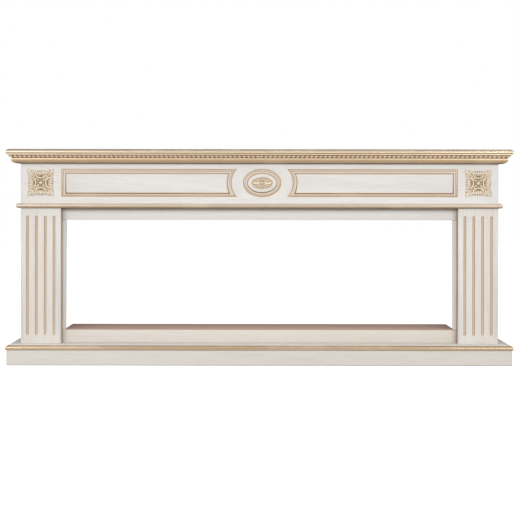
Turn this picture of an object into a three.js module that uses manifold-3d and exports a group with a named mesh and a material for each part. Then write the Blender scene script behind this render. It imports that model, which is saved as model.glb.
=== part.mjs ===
// Classical fireplace mantelpiece: a wide, low portal round a fire that stands on an inner sill.
// Millimetres. +X is right, -Y is the front, +Z is up. The origin is on the floor, in the middle
// of the space that the mantelpiece covers.

import * as THREE from 'three';
import { mergeVertices } from 'three/addons/utils/BufferGeometryUtils.js';
import Module from 'manifold-3d';

const wasm = await Module();
wasm.setup();

// Body: the box of boards between the deck and the shelf
const bodyWidth = 1932; // over the two side panels
const bodyDepth = 316; // from the pilasters' faces to the wall
const pilasterHeight = 548.5; // from the deck to the frieze
const friezeHeight = 219.5; // from the pilasters to the shelf, behind the crown moulding
const boardThickness = 19;
const arrisEase = 1.6; // the small flat sanded on an outer arris

// Fits
const glueGap = 0.3; // left between pieces that are glued or screwed together
const mitreGap = 0.15; // what each of two mitred pieces gives up along its run
const cutClear = 2; // how far a cutter runs past what it cuts

// Shelf
const shelfThickness = 18;
const shelfProjection = 54; // past the body, on the front and both ends
const shelfTopStep = 9.5; // from the edge of the flat top out to the nose
const shelfNoseHeight = 6.5; // from the underside up to the nose's widest line
const shelfUndercut = 4.5;
const shelfQuirk = 1.8; // the small step at the edge of the flat top

// Crown moulding, from the shelf down
const crownFilletHeight = 5;
const crownFilletProjection = 49.5;
const ropeTopProjection = 47.5;
const ropeBottomProjection = 35;
const ropeBandHeight = 13.8; // upright height of the slanted rope band
const lowerFilletHeight = 7.4;
const lowerFilletProjection = 34;
const ovoloHeight = 13.2;
const ovoloReach = 27; // how far the convex curve runs back under

// Rope strip
const ropeDepth = 5.4; // from the strip's back to the crests of the strands
const ropeValley = 1.8; // from the strip's back to the bottom of the hollows
const ropePitch = 18.4;
const ropeLean = 9; // how far a strand leans along the run across the band
const ropeShoulder = 0.27; // where the crest starts, as a share of the band's breadth

// Astragal
const astragalHeight = 20;
const astragalProjection = 17;
const astragalTopFlat = 6;
const astragalBottomFlat = 4;
const astragalNoseDrop = 11; // from its top down to its widest line

// Pilasters and flutes
const pilasterWidth = 162;
const fluteCount = 4;
const fluteWidth = 11.5;
const fluteDepth = 5.2;
const flutePitch = 35.8;
const fluteTopMargin = 31;
const fluteBottomMargin = 33.2;

// Frieze carving
const carvingCentreHeight = 102; // above the bottom of the frieze, for panels, oval and rosettes
const panelHeight = 113.6;
const panelInset = 2; // from the pilasters' inner edges to the panels
const panelArcRadius = 82.6;
const panelArcOffset = 41; // from the oval's centre to the centre of a panel's hollow end
const ovalOffset = 10.5; // the oval sits a little right of the middle
const ovalHalfWidth = 77.4;
const ovalHalfHeight = 56;
const coveWidth = 11;
const coveDepth = 4.4;
const beadWidth = 4.6; // left standing between the cove and the quirk
const quirkWidth = 4.4;
const quirkDepth = 2.8;

// Applied carvings
const rosetteSize = 105;
const rosetteRelief = 11;
const ovalRosetteLength = 90;
const ovalRosetteHeight = 50;
const ovalRosetteRelief = 9;
const carvingPlate = 3; // thickness of the ground that holds a carving's leaves together
const petalSides = 6;

// Recessed frame round the opening
const recessDepth = 43; // from the pilasters' faces back to the frame
const topRailHeight = 48.3;
const bottomRailHeight = 52.3;
const jambShow = 15; // what shows of a jamb beside its pilaster
const jambLap = 56; // what runs on behind the pilaster
const frameThickness = 19;
const soffitThickness = 16;

// Fire sill, deck and plinth
const sillLap = 9; // past the opening on each side
const sillThickness = 19;
const deckThickness = 22;
const deckProjection = 54;
const deckTopStep = 14; // from the edge of the flat top out to the nose
const deckNoseHeight = 7.6; // from the underside up to the nose's widest line
const deckUndercut = 4.4;
const deckQuirk = 2.2;
const plinthHeight = 62;
const plinthSetback = 4.6; // behind the deck's nose
const plinthEase = 6; // rounding of the plinth's lower arris
const rearRailHeight = 90;

// Places that the sizes above give
const wall = (bodyDepth + Math.max(shelfProjection, deckProjection)) / 2;
const bodyFront = wall - bodyDepth;
const deckTop = plinthHeight + deckThickness;
const friezeBottom = deckTop + pilasterHeight;
const bodyTop = friezeBottom + friezeHeight;
const bodyHeight = bodyTop - deckTop;
const frameFront = bodyFront + recessDepth;
const frameBack = frameFront + frameThickness;
const pilasterInner = bodyWidth / 2 - pilasterWidth;
const openingHalfWidth = pilasterInner - jambShow;
const sillHalfWidth = openingHalfWidth + sillLap;
const sillTop = deckTop + bottomRailHeight;

// Finishes
const ivory = new THREE.MeshStandardMaterial({ color: 0xe6e1da, roughness: 0.55, metalness: 0 });
const gilt = new THREE.MeshStandardMaterial({ color: 0xccae82, roughness: 0.45, metalness: 0.15 });
const rawBoard = new THREE.MeshStandardMaterial({ color: 0xaa8f83, roughness: 0.85, metalness: 0 });

const mantelpiece = new THREE.Group();

// The runs of the body: along the front, and along each side. Within a run +X goes along it,
// -Y looks out of the body, and a corner end is cut to the mitre.
function makeRun(side, x, y, turn, length, startMitred, endMitred) {
  const group = new THREE.Group();
  group.position.set(x, y, 0);
  group.rotation.z = turn;
  mantelpiece.add(group);
  return { side, group, length, startMitred, endMitred };
}

const quarterTurn = Math.PI / 2;
const frontRun = makeRun('front', -bodyWidth / 2, bodyFront, 0, bodyWidth, true, true);
const leftRun = makeRun('left', -bodyWidth / 2, wall, -quarterTurn, bodyDepth, false, true);
const rightRun = makeRun('right', bodyWidth / 2, bodyFront, quarterTurn, bodyDepth, true, false);
const runs = [frontRun, leftRun, rightRun];

function named(name, geometry, material) {
  const mesh = new THREE.Mesh(geometry, material);
  mesh.name = name;
  return mesh;
}

// Closed geometry to solid and back, for cutting and joining
function solid(geometry) {
  const bare = new THREE.BufferGeometry();
  bare.setAttribute('position', geometry.getAttribute('position'));
  bare.setIndex(geometry.index);
  const merged = mergeVertices(bare, 1e-4);
  return new wasm.Manifold(
    new wasm.Mesh({
      numProp: 3,
      vertProperties: Float32Array.from(merged.getAttribute('position').array),
      triVerts: Uint32Array.from(merged.index.array),
    }),
  );
}

function geometryOf(made) {
  const mesh = made.getMesh();
  const geometry = new THREE.BufferGeometry();
  geometry.setAttribute('position', new THREE.BufferAttribute(mesh.vertProperties, 3));
  geometry.setIndex(new THREE.BufferAttribute(mesh.triVerts, 1));
  geometry.computeVertexNormals();
  return geometry;
}

// A skin over loops of points that all have the same count: a ring when closed,
// and otherwise a bar with its two ends filled.
function loft(loops, closed) {
  const count = loops[0].length;
  const last = closed ? loops.length : loops.length - 1;
  const index = [];
  for (let i = 0; i < last; i += 1) {
    const here = i * count;
    const next = ((i + 1) % loops.length) * count;
    for (let j = 0; j < count; j += 1) {
      const k = (j + 1) % count;
      index.push(here + j, here + k, next + k, here + j, next + k, next + j);
    }
  }
  const end = (loops.length - 1) * count;
  for (let j = 1; !closed && j < count - 1; j += 1) {
    index.push(0, j + 1, j, end, end + j, end + j + 1);
  }
  const points = loops.flat();
  const geometry = new THREE.BufferGeometry().setFromPoints(points);
  geometry.setIndex(index);
  geometry.computeVertexNormals();
  return geometry;
}

// Boards
function board(name, x0, x1, y0, y1, z0, z1, material) {
  const mesh = named(name, new THREE.BoxGeometry(x1 - x0, y1 - y0, z1 - z0), material);
  mesh.position.set((x0 + x1) / 2, (y0 + y1) / 2, (z0 + z1) / 2);
  return mesh;
}

// Plan of a face board: its length along +X and its face on y = 0. A mitred end runs back at
// 45 degrees, and a plain end has an eased arris.
function boardPlan(length, startMitred, endMitred) {
  const t = boardThickness;
  const e = arrisEase;
  const start = startMitred
    ? [[t + mitreGap, t], [e / 2 + mitreGap, e / 2], [e + mitreGap, 0]]
    : [[0, t], [0, e], [e, 0]];
  const end = endMitred
    ? [[e + mitreGap, 0], [e / 2 + mitreGap, e / 2], [t + mitreGap, t]]
    : [[e, 0], [0, e], [0, t]];
  const points = [
    ...start.map(([x, y]) => new THREE.Vector2(x, y)),
    ...end.map(([x, y]) => new THREE.Vector2(length - x, y)),
  ];
  return new THREE.Shape(points);
}

function faceBoard(length, height, startMitred, endMitred) {
  const plan = boardPlan(length, startMitred, endMitred);
  return new THREE.ExtrudeGeometry(plan, { depth: height, bevelEnabled: false });
}

// A moulding whose section is drawn as projection (x) and height (y), swept from the end of a
// run back to its start
function moulding(section, run, curveSegments = 6) {
  const settings = { depth: 1, bevelEnabled: false, curveSegments };
  const geometry = new THREE.ExtrudeGeometry(section, settings);
  const position = geometry.getAttribute('position');
  for (let i = 0; i < position.count; i += 1) {
    const out = position.getX(i);
    const start = run.startMitred ? mitreGap - out : 0;
    const end = run.length + (run.endMitred ? out - mitreGap : 0);
    const x = THREE.MathUtils.lerp(end, start, position.getZ(i));
    position.setXYZ(i, x, -out, position.getY(i));
  }
  geometry.computeVertexNormals();
  return geometry;
}

// A board whose nose runs round the front and both ends: its profile, from the underside up,
// is a list of projections (x) and heights (y)
function nosedBoard(profile) {
  const loops = profile.map(({ x: out, y: height }) => {
    const side = bodyWidth / 2 + out;
    const front = bodyFront - out;
    return [[-side, front], [side, front], [side, wall], [-side, wall]].map(
      ([x, y]) => new THREE.Vector3(x, y, height),
    );
  });
  return loft(loops, false);
}

// Nose of the shelf or the deck: an undercut, the widest line, a round shoulder, then a quirk
// at the edge of the flat top
function noseProfile(bottom, thickness, projection, undercut, noseHeight, topStep, quirk) {
  const top = bottom + thickness;
  const path = new THREE.Path();
  path.moveTo(projection - undercut, bottom);
  path.quadraticCurveTo(projection, bottom + noseHeight * 0.15, projection, bottom + noseHeight);
  path.bezierCurveTo(
    projection, bottom + noseHeight + (thickness - noseHeight) * 0.5,
    projection - topStep * 0.45, top - quirk,
    projection - topStep, top - quirk,
  );
  path.lineTo(projection - topStep, top);
  return path.getPoints(5);
}

// Base
function makeBase() {
  const nose = noseProfile(plinthHeight, deckThickness, deckProjection,
    deckUndercut, deckNoseHeight, deckTopStep, deckQuirk);
  mantelpiece.add(named('base_deck', nosedBoard(nose), ivory));

  const face = deckProjection - plinthSetback;
  const back = face - boardThickness;
  const top = plinthHeight - glueGap;
  const section = new THREE.Shape();
  section.moveTo(back, 0);
  section.lineTo(face - plinthEase, 0);
  section.absarc(face - plinthEase, plinthEase, plinthEase, -quarterTurn, 0);
  section.lineTo(face, top);
  section.lineTo(back, top);
  for (const run of runs) {
    run.group.add(named(`plinth_${run.side}`, moulding(section, run), ivory));
  }
  const rearHalf = bodyWidth / 2 + back - glueGap;
  mantelpiece.add(
    board('plinth_rear', -rearHalf, rearHalf, wall - boardThickness, wall, 0, top, rawBoard),
  );
}

// Sides, front boards and the frieze box
function makeFluted(name, x, startMitred, endMitred, flip) {
  const height = pilasterHeight - 2 * glueGap;
  let made = solid(faceBoard(pilasterWidth, height, startMitred, endMitred));
  const radius = (fluteDepth ** 2 + (fluteWidth / 2) ** 2) / (2 * fluteDepth);
  const length = pilasterHeight - fluteTopMargin - fluteBottomMargin - fluteWidth;
  const margin = (pilasterWidth - flutePitch * (fluteCount - 1)) / 2;
  for (let i = 0; i < fluteCount; i += 1) {
    const cutter = new THREE.CapsuleGeometry(radius, length, 3, 12);
    cutter.rotateX(quarterTurn);
    const across = margin + flutePitch * i;
    cutter.translate(
      flip ? pilasterWidth - across : across,
      fluteDepth - radius,
      fluteBottomMargin + (fluteWidth + length) / 2,
    );
    made = made.subtract(solid(cutter));
  }
  const mesh = named(name, geometryOf(made), ivory);
  mesh.position.set(x, 0, deckTop + glueGap);
  frontRun.group.add(mesh);
}

function makeSides() {
  for (const run of [leftRun, rightRun]) {
    const height = bodyHeight - 2 * glueGap;
    const panel = faceBoard(run.length, height, run.startMitred, run.endMitred);
    const mesh = named(`side_panel_${run.side}`, panel, ivory);
    mesh.position.z = deckTop + glueGap;
    run.group.add(mesh);
  }
  makeFluted('pilaster_left', 0, true, false, false);
  makeFluted('pilaster_right', bodyWidth - pilasterWidth, false, true, true);

  const returnFront = bodyFront + boardThickness + glueGap;
  for (const [side, sign] of [['left', -1], ['right', 1]]) {
    const inner = sign * pilasterInner;
    const outer = sign * (pilasterInner + boardThickness);
    mantelpiece.add(
      board(`pilaster_return_${side}`, Math.min(inner, outer), Math.max(inner, outer),
        returnFront, frameFront - glueGap, deckTop + glueGap, friezeBottom - glueGap, ivory),
    );
  }
  const between = bodyWidth / 2 - boardThickness - glueGap;
  mantelpiece.add(
    board('frieze_soffit', -between, between, returnFront, wall,
      friezeBottom, friezeBottom + soffitThickness, ivory),
    board('rear_rail', -between, between, wall - boardThickness, wall,
      bodyTop - glueGap - rearRailHeight, bodyTop - glueGap, rawBoard),
  );
}

// Outlines of the routed rings, drawn on the frieze's face for any inset from the outer edge.
// The face's own frame has x = 0 at the middle and z = 0 at the carving's centre height.
const panelArcSteps = 12;
const ovalSteps = 40;

function panelOutline(side, inset) {
  const outer = side * (pilasterInner - panelInset - inset);
  const half = panelHeight / 2 - inset;
  const centre = ovalOffset + side * panelArcOffset;
  const radius = panelArcRadius + inset;
  const swing = Math.asin(half / radius);
  const points = [[outer, half], [outer, -half]];
  for (let i = 0; i <= panelArcSteps; i += 1) {
    const angle = THREE.MathUtils.lerp(-swing, swing, i / panelArcSteps);
    points.push([centre + side * radius * Math.cos(angle), radius * Math.sin(angle)]);
  }
  return side < 0 ? points : points.reverse();
}

function ovalOutline(inset) {
  const points = [];
  for (let i = 0; i < ovalSteps; i += 1) {
    const angle = (2 * Math.PI * i) / ovalSteps;
    points.push([
      ovalOffset + (ovalHalfWidth - inset) * Math.cos(angle),
      (ovalHalfHeight - inset) * Math.sin(angle),
    ]);
  }
  return points;
}

// Sections of the two cuts in a ring, as insets and depths that close above the face
function coveSection() {
  const points = [[coveWidth, -cutClear], [coveWidth, 0]];
  for (const share of [0.8, 0.5, 0.2]) {
    points.push([coveWidth * share, coveDepth * Math.sin(Math.PI * share)]);
  }
  return [...points, [0, 0], [0, -cutClear]];
}

function quirkSection() {
  const start = coveWidth + beadWidth;
  return [
    [start + quirkWidth, -cutClear],
    [start + quirkWidth, 0],
    [start + quirkWidth / 2, quirkDepth],
    [start, 0],
    [start, -cutClear],
  ];
}

function ringCutter(outline, section) {
  const loops = section.map(([inset, depth]) =>
    outline(inset).map(
      ([x, z]) => new THREE.Vector3(bodyWidth / 2 + x, depth, carvingCentreHeight + z),
    ),
  );
  return loft(loops, true);
}

function makeFrieze() {
  const height = friezeHeight - glueGap;
  let made = solid(faceBoard(bodyWidth, height, true, true));
  const outlines = [
    (inset) => panelOutline(-1, inset),
    (inset) => panelOutline(1, inset),
    ovalOutline,
  ];
  for (const outline of outlines) {
    for (const section of [coveSection(), quirkSection()]) {
      made = made.subtract(solid(ringCutter(outline, section)));
    }
  }
  const mesh = named('frieze_front', geometryOf(made), ivory);
  mesh.position.z = friezeBottom;
  frontRun.group.add(mesh);
}

// Leaves and petals: one low dome, drawn out from a root to a tip on the carving's ground and
// narrowed towards its root
function petal(root, tip, width, relief, rootShare = 0.35) {
  const profile = [[0, 0], [1, 0], [0.78, 0.62], [0, 1]];
  const points = profile.map(([radius, height]) => new THREE.Vector2(radius, height));
  const geometry = new THREE.LatheGeometry(points, petalSides);
  const position = geometry.getAttribute('position');
  for (let i = 0; i < position.count; i += 1) {
    const share = THREE.MathUtils.lerp(rootShare, 1, (position.getX(i) + 1) / 2);
    position.setY(i, position.getY(i) * Math.sqrt(share));
    position.setZ(i, position.getZ(i) * share);
  }
  const along = new THREE.Vector2(tip[0] - root[0], tip[1] - root[1]);
  geometry.scale(along.length() / 2, relief, width / 2);
  geometry.rotateX(Math.PI);
  geometry.rotateY(-along.angle());
  geometry.translate((root[0] + tip[0]) / 2, 0, (root[1] + tip[1]) / 2);
  return solid(geometry);
}

function boss(width, height, relief) {
  return petal([-width / 2, 0], [width / 2, 0], height, relief, 1);
}

function joined(solids) {
  return geometryOf(solids.reduce((whole, piece) => whole.add(piece)));
}

// Square rosette: a round boss, four straps to the corners, a three-lobed leaf in each corner and
// a three-lobed palmette on each side. Its places are shares of its own size.
function rosetteSolid() {
  const s = rosetteSize / 2;
  const r = rosetteRelief;
  const ground = new THREE.BoxGeometry(1.7 * s, carvingPlate, 1.7 * s);
  ground.translate(0, -carvingPlate / 2, 0);
  const pieces = [solid(ground), boss(0.3 * s, 0.3 * s, r)];
  for (let i = 0; i < 4; i += 1) {
    const turn = i * quarterTurn;
    const at = (x, y) => [
      s * (x * Math.cos(turn) - y * Math.sin(turn)),
      s * (x * Math.sin(turn) + y * Math.cos(turn)),
    ];
    pieces.push(
      petal(at(0.1, 0.1), at(0.76, 0.76), 0.26 * s, 0.75 * r),
      petal(at(0.6, 0.6), at(0.97, 0.97), 0.34 * s, r),
      petal(at(0.42, 0.5), at(0.56, 0.99), 0.25 * s, 0.85 * r),
      petal(at(0.5, 0.42), at(0.99, 0.56), 0.25 * s, 0.85 * r),
      petal(at(0.36, 0), at(0.95, 0), 0.24 * s, 0.8 * r),
      petal(at(0.4, 0.1), at(0.97, 0.3), 0.2 * s, 0.7 * r),
      petal(at(0.4, -0.1), at(0.97, -0.3), 0.2 * s, 0.7 * r),
    );
  }
  return joined(pieces);
}

// Oval rosette: four long petals, small ones above, below and at the ends, and a round eye
function ovalRosetteSolid() {
  const a = ovalRosetteLength / 2;
  const b = ovalRosetteHeight / 2;
  const r = ovalRosetteRelief;
  const ground = new THREE.CylinderGeometry(0.93, 1, carvingPlate, 24);
  ground.scale(a, 1, b);
  ground.rotateX(Math.PI);
  ground.translate(0, -carvingPlate / 2, 0);
  const pieces = [solid(ground), boss(0.2 * a, 0.34 * b, 0.9 * r)];
  for (const x of [-1, 1]) {
    pieces.push(petal([0.3 * a * x, 0], [0.92 * a * x, 0], 0.34 * b, 0.7 * r));
    pieces.push(petal([0, 0.2 * b * x], [0, 0.92 * b * x], 0.3 * a, 0.75 * r));
    for (const z of [-1, 1]) {
      const root = [0.08 * a * x, 0.12 * b * z];
      pieces.push(petal(root, [0.78 * a * x, 0.6 * b * z], 0.56 * b, r));
    }
  }
  return joined(pieces);
}

function makeCarvings() {
  const places = [
    ['rosette_left', rosetteSolid(), pilasterWidth / 2],
    ['rosette_right', rosetteSolid(), bodyWidth - pilasterWidth / 2],
    ['oval_rosette', ovalRosetteSolid(), bodyWidth / 2 + ovalOffset],
  ];
  for (const [name, geometry, x] of places) {
    const mesh = named(name, geometry, gilt);
    mesh.position.set(x, -glueGap, friezeBottom + carvingCentreHeight);
    frontRun.group.add(mesh);
  }
}

// Crown moulding and its rope
function slopeFrame() {
  const bottom = new THREE.Vector2(ropeBottomProjection, bodyTop - crownFilletHeight - ropeBandHeight);
  const top = new THREE.Vector2(ropeTopProjection, bodyTop - crownFilletHeight);
  const along = top.clone().sub(bottom).normalize();
  const inward = new THREE.Vector2(-along.y, along.x);
  return { bottom, top, along, inward, breadth: top.distanceTo(bottom) };
}

function corniceSection() {
  const { bottom, top, inward } = slopeFrame();
  const rebate = inward.clone().multiplyScalar(ropeDepth + glueGap);
  const ovoloTop = bottom.y - lowerFilletHeight;
  const ovoloBottom = ovoloTop - ovoloHeight;
  const section = new THREE.Shape();
  section.moveTo(glueGap, ovoloBottom);
  section.lineTo(lowerFilletProjection - ovoloReach, ovoloBottom);
  section.bezierCurveTo(
    lowerFilletProjection - ovoloReach * 0.35, ovoloBottom,
    lowerFilletProjection, ovoloTop - ovoloHeight * 0.45,
    lowerFilletProjection, ovoloTop,
  );
  section.lineTo(lowerFilletProjection, bottom.y);
  section.lineTo(bottom.x + rebate.x, bottom.y + rebate.y);
  section.lineTo(top.x + rebate.x, top.y + rebate.y);
  section.lineTo(top.x, top.y);
  section.lineTo(crownFilletProjection, top.y);
  section.lineTo(crownFilletProjection, bodyTop - glueGap);
  section.lineTo(glueGap, bodyTop - glueGap);
  return section;
}

// A bar round the whole rope strip, which cuts the strip's ends to the mitre
function ropeEnvelope() {
  const { bottom, top, along, inward } = slopeFrame();
  const low = bottom.clone().addScaledVector(along, -cutClear).addScaledVector(inward, -cutClear);
  const high = top.clone().addScaledVector(along, cutClear).addScaledVector(inward, -cutClear);
  const back = inward.clone().multiplyScalar(ropeDepth + 2 * cutClear);
  return new THREE.Shape([low, high, high.clone().add(back), low.clone().add(back)]);
}

// Strands lean away from the middle of the front, and the same way along each side
function ropeStrip(run) {
  const { bottom, along, inward, breadth } = slopeFrame();
  const reach = ropeTopProjection + ropePitch;
  const centre = run === frontRun ? run.length / 2 : run.startMitred ? -reach : run.length + reach;
  const column = (x, lean, height) => {
    const crest = ropeDepth - height;
    const section = [
      [1, ropeDepth], [1 - ropeShoulder, crest], [ropeShoulder, crest], [0, ropeDepth],
    ];
    return section.map(([share, depth]) => {
      const up = THREE.MathUtils.lerp(glueGap, breadth - glueGap, share);
      const point = bottom.clone().addScaledVector(along, up).addScaledVector(inward, depth);
      return new THREE.Vector3(x + lean * (share - 0.5), -point.x, point.y);
    });
  };
  const firstStrand = (ropePitch + ropeLean) / 2;
  const count = Math.ceil((run.length / (run === frontRun ? 2 : 1) + 2 * reach) / ropePitch);
  const columns = [column(centre, 0, ropeValley)];
  for (let i = 0; i < 2 * count; i += 1) {
    const height = i % 2 ? ropeValley : ropeDepth;
    const distance = firstStrand + (i * ropePitch) / 2;
    if (run !== rightRun) columns.unshift(column(centre - distance, -ropeLean, height));
    if (run !== leftRun) columns.push(column(centre + distance, ropeLean, height));
  }
  const strip = solid(loft(columns, false));
  return geometryOf(strip.intersect(solid(moulding(ropeEnvelope(), run))));
}

function astragalSection() {
  const bottom = friezeBottom;
  const top = bottom + astragalHeight;
  const nose = top - astragalNoseDrop;
  const section = new THREE.Shape();
  section.moveTo(glueGap, bottom);
  section.lineTo(astragalBottomFlat, bottom);
  section.bezierCurveTo(
    astragalProjection - 2, bottom,
    astragalProjection, nose - (nose - bottom) * 0.4,
    astragalProjection, nose,
  );
  section.bezierCurveTo(
    astragalProjection, nose + (top - nose) * 0.6,
    astragalProjection - 4, top,
    astragalTopFlat, top,
  );
  section.lineTo(glueGap, top);
  return section;
}

function makeMouldings() {
  for (const run of runs) {
    run.group.add(
      named(`cornice_${run.side}`, moulding(corniceSection(), run), gilt),
      named(`rope_${run.side}`, ropeStrip(run), gilt),
      named(`astragal_${run.side}`, moulding(astragalSection(), run, 5), gilt),
    );
  }
  const nose = noseProfile(bodyTop, shelfThickness, shelfProjection,
    shelfUndercut, shelfNoseHeight, shelfTopStep, shelfQuirk);
  mantelpiece.add(named('shelf_top', nosedBoard(nose), ivory));
}

// Recessed frame round the opening, and the sill behind it
function makeFrame() {
  const outer = pilasterInner + jambLap;
  const low = deckTop + glueGap;
  const high = friezeBottom - glueGap;
  const railBottom = friezeBottom - topRailHeight;
  const frameBoard = (name, x0, x1, z0, z1) =>
    board(name, x0, x1, frameFront, frameBack, z0, z1, ivory);
  mantelpiece.add(
    frameBoard('top_rail', -outer, outer, railBottom, high),
    frameBoard('bottom_rail', -outer, outer, low, sillTop),
    frameBoard('jamb_left', -outer, -openingHalfWidth, sillTop + glueGap, railBottom - glueGap),
    frameBoard('jamb_right', openingHalfWidth, outer, sillTop + glueGap, railBottom - glueGap),
  );

  const front = frameBack + glueGap;
  const under = sillTop - sillThickness - glueGap;
  const rearInner = wall - sillThickness - glueGap;
  const supportInner = sillHalfWidth - sillThickness;
  mantelpiece.add(
    board('sill_board', -sillHalfWidth, sillHalfWidth, front, wall, under + glueGap, sillTop, rawBoard),
    board('sill_support_left', -sillHalfWidth, -supportInner, front, rearInner, low, under, rawBoard),
    board('sill_support_right', supportInner, sillHalfWidth, front, rearInner, low, under, rawBoard),
    board('sill_support_rear', -sillHalfWidth, sillHalfWidth, wall - sillThickness, wall,
      low, under, rawBoard),
  );
}

makeBase();
makeSides();
makeFrieze();
makeCarvings();
makeMouldings();
makeFrame();

export default mantelpiece;
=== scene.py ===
"""Dresses the fireplace mantelpiece: eased boards, fine mouldings, carved rope and rosettes,
ivory oak with gold patina, and the studio that shows it. Everything is in metres."""

import math

import bmesh
import bpy
from mathutils import Matrix, Vector, geometry


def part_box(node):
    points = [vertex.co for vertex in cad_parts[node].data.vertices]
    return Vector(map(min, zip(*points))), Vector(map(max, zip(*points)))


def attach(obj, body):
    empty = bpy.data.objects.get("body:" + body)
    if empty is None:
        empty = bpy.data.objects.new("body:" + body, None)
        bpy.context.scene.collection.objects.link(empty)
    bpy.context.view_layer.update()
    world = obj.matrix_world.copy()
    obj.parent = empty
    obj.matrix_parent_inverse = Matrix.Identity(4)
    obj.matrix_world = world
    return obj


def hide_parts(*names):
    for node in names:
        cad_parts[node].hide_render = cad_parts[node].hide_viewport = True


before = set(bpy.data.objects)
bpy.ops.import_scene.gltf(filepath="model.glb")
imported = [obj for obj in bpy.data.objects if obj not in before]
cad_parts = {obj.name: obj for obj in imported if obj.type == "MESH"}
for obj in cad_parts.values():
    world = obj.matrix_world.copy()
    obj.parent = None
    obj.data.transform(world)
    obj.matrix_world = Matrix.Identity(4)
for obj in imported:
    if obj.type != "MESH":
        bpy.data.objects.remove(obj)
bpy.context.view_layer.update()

MM = 0.001

# Places that the frame gives
HALF = -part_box("side_panel_left")[0].x
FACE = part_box("frieze_front")[0].y
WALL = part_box("shelf_top")[1].y
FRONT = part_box("shelf_top")[0].y
SHELF_LOW, SHELF_HIGH = (corner.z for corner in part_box("shelf_top"))
DECK_LOW, DECK_HIGH = (corner.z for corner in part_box("base_deck"))
PLINTH_LOW, PLINTH_HIGH = (corner.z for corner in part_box("plinth_front"))
PLINTH_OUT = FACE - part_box("plinth_front")[0].y
PLINTH_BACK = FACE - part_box("plinth_front")[1].y
SHELF_OUT = FACE - FRONT
DECK_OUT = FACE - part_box("base_deck")[0].y
FRIEZE_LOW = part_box("frieze_front")[0].z
ASTRAGAL_LOW, ASTRAGAL_HIGH = (corner.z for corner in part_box("astragal_front"))
ASTRAGAL_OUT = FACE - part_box("astragal_front")[0].y
PILASTER_INNER = -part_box("pilaster_left")[1].x
JAMB_INNER = -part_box("jamb_left")[1].x
SIDE_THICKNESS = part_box("side_panel_left")[1].x + HALF
OVAL_X = sum(corner.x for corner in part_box("oval_rosette")) / 2
CARVING_Z = sum(corner.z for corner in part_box("oval_rosette")) / 2

# Fits and small rounding
GLUE_GAP = 0.3 * MM
MITRE_GAP = 0.15 * MM
ARRIS = 0.9 * MM
BACK_OUT = GLUE_GAP  # the flat back of a moulding that is glued to the body
EDGE_ANGLE = math.radians(20)  # a board's edges that are eased
FLAT_ANGLE = math.radians(2)  # faces of a board that are one
ROUTED_ANGLE = math.radians(32)  # edges of a routed board that stay sharp

# Noses: how they lie between the underside and the flat top
SHELF_NOSE = {"undercut": 4.5 * MM, "rise": 6.5 * MM, "step": 9.5 * MM, "quirk": 1.8 * MM}
DECK_NOSE = {"undercut": 4.4 * MM, "rise": 7.6 * MM, "step": 14 * MM, "quirk": 2.2 * MM}

# Crown moulding: projections from the body, heights down from the shelf
CROWN_FILLET = 5 * MM
CROWN_FILLET_OUT = 49.5 * MM
ROPE_TOP_OUT = 47.5 * MM
ROPE_BOTTOM_OUT = 35 * MM
ROPE_BAND = 13.8 * MM
LOWER_FILLET = 7.4 * MM
LOWER_FILLET_OUT = 34 * MM
OVOLO = 13.2 * MM
OVOLO_REACH = 27 * MM
FILLET_EASE = 0.5 * MM
ROPE_TOP = Vector((ROPE_TOP_OUT, SHELF_LOW - CROWN_FILLET))
ROPE_BOTTOM = Vector((ROPE_BOTTOM_OUT, SHELF_LOW - CROWN_FILLET - ROPE_BAND))
ROPE_UP = (ROPE_TOP - ROPE_BOTTOM).normalized()
LOWER_FILLET_LOW = ROPE_BOTTOM.y - LOWER_FILLET
CROWN_LOW = LOWER_FILLET_LOW - OVOLO

# Rope
ROPE_DEPTH = 5.4 * MM
ROPE_VALLEY = 0.7 * MM
ROPE_PITCH = 18.4 * MM
ROPE_LEAN = 9 * MM
STRAND_SHARE = 0.66  # of each turn, with the hollow between strands as the rest
MITRE_PULL = 12 * MM  # length over which the carving is drawn to the mitre
ROPE_BACKING = 0.2 * MM  # wood behind the deepest hollow
ROPE_ROWS = 9
COLUMNS_PER_STRAND = 12
FILLET_SHADOW = 0.60, 0.80  # shares of its breadth where painted shadow darkens it under the fillet
# Depth of the painted shadow under the fillet, below the darkest hollow
FILLET_SHADOW_DEPTH = 0.2
FOOT_HIGHLIGHT, FOOT_SHARE = 0.3, 0.45  # painted highlight along its foot

# Routed work
FLUTES = 4
FLUTE_WIDTH = 10.6 * MM
FLUTE_DEPTH = 5.2 * MM
FLUTE_PITCH = 35.8 * MM
FLUTE_END_SHARE = 0.95  # the height of its round end, in radii
FLUTE_TOP = 31 * MM
FLUTE_BOTTOM = 33.2 * MM
PANEL_HEIGHT = 112.4 * MM
PANEL_INSET = 2 * MM
LOWER_EDGE_SHARE = 0.80  # the moulding is narrower along the bottom of a panel
LOWER_BEAD_LOSS = 1.3 * MM  # most of all its bead
LOWER_QUIRK_GROWTH = 0.3  # but its quirk is wider
PANEL_ARC = 82.6 * MM
PANEL_ARC_OFFSET = 41 * MM
OVAL_HALF_WIDTH = 77.4 * MM
OVAL_HALF_HEIGHT = 56.9 * MM
COVE_WIDTH = 10.8 * MM
COVE_DEPTH = 4.4 * MM
BEAD_WIDTH = 4.6 * MM
QUIRK_WIDTH = 4.8 * MM
QUIRK_DEPTH = 2.8 * MM
LIP = 0.5 * MM  # rounding where a cut meets the face
CLEAR = 2 * MM  # how far a cutter runs past what it cuts

# Carvings
PLATE_SHARE = 0.87  # of the half size of a corner rosette
PLATE_THICKNESS = 2.4 * MM
OVAL_PLATE_THICKNESS = 2.6 * MM
HEIGHT_WEIGHT = 1.05  # patina is rubbed off high places
HOLLOW_WEIGHT = 3.4  # and stays in hollow ones

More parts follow.
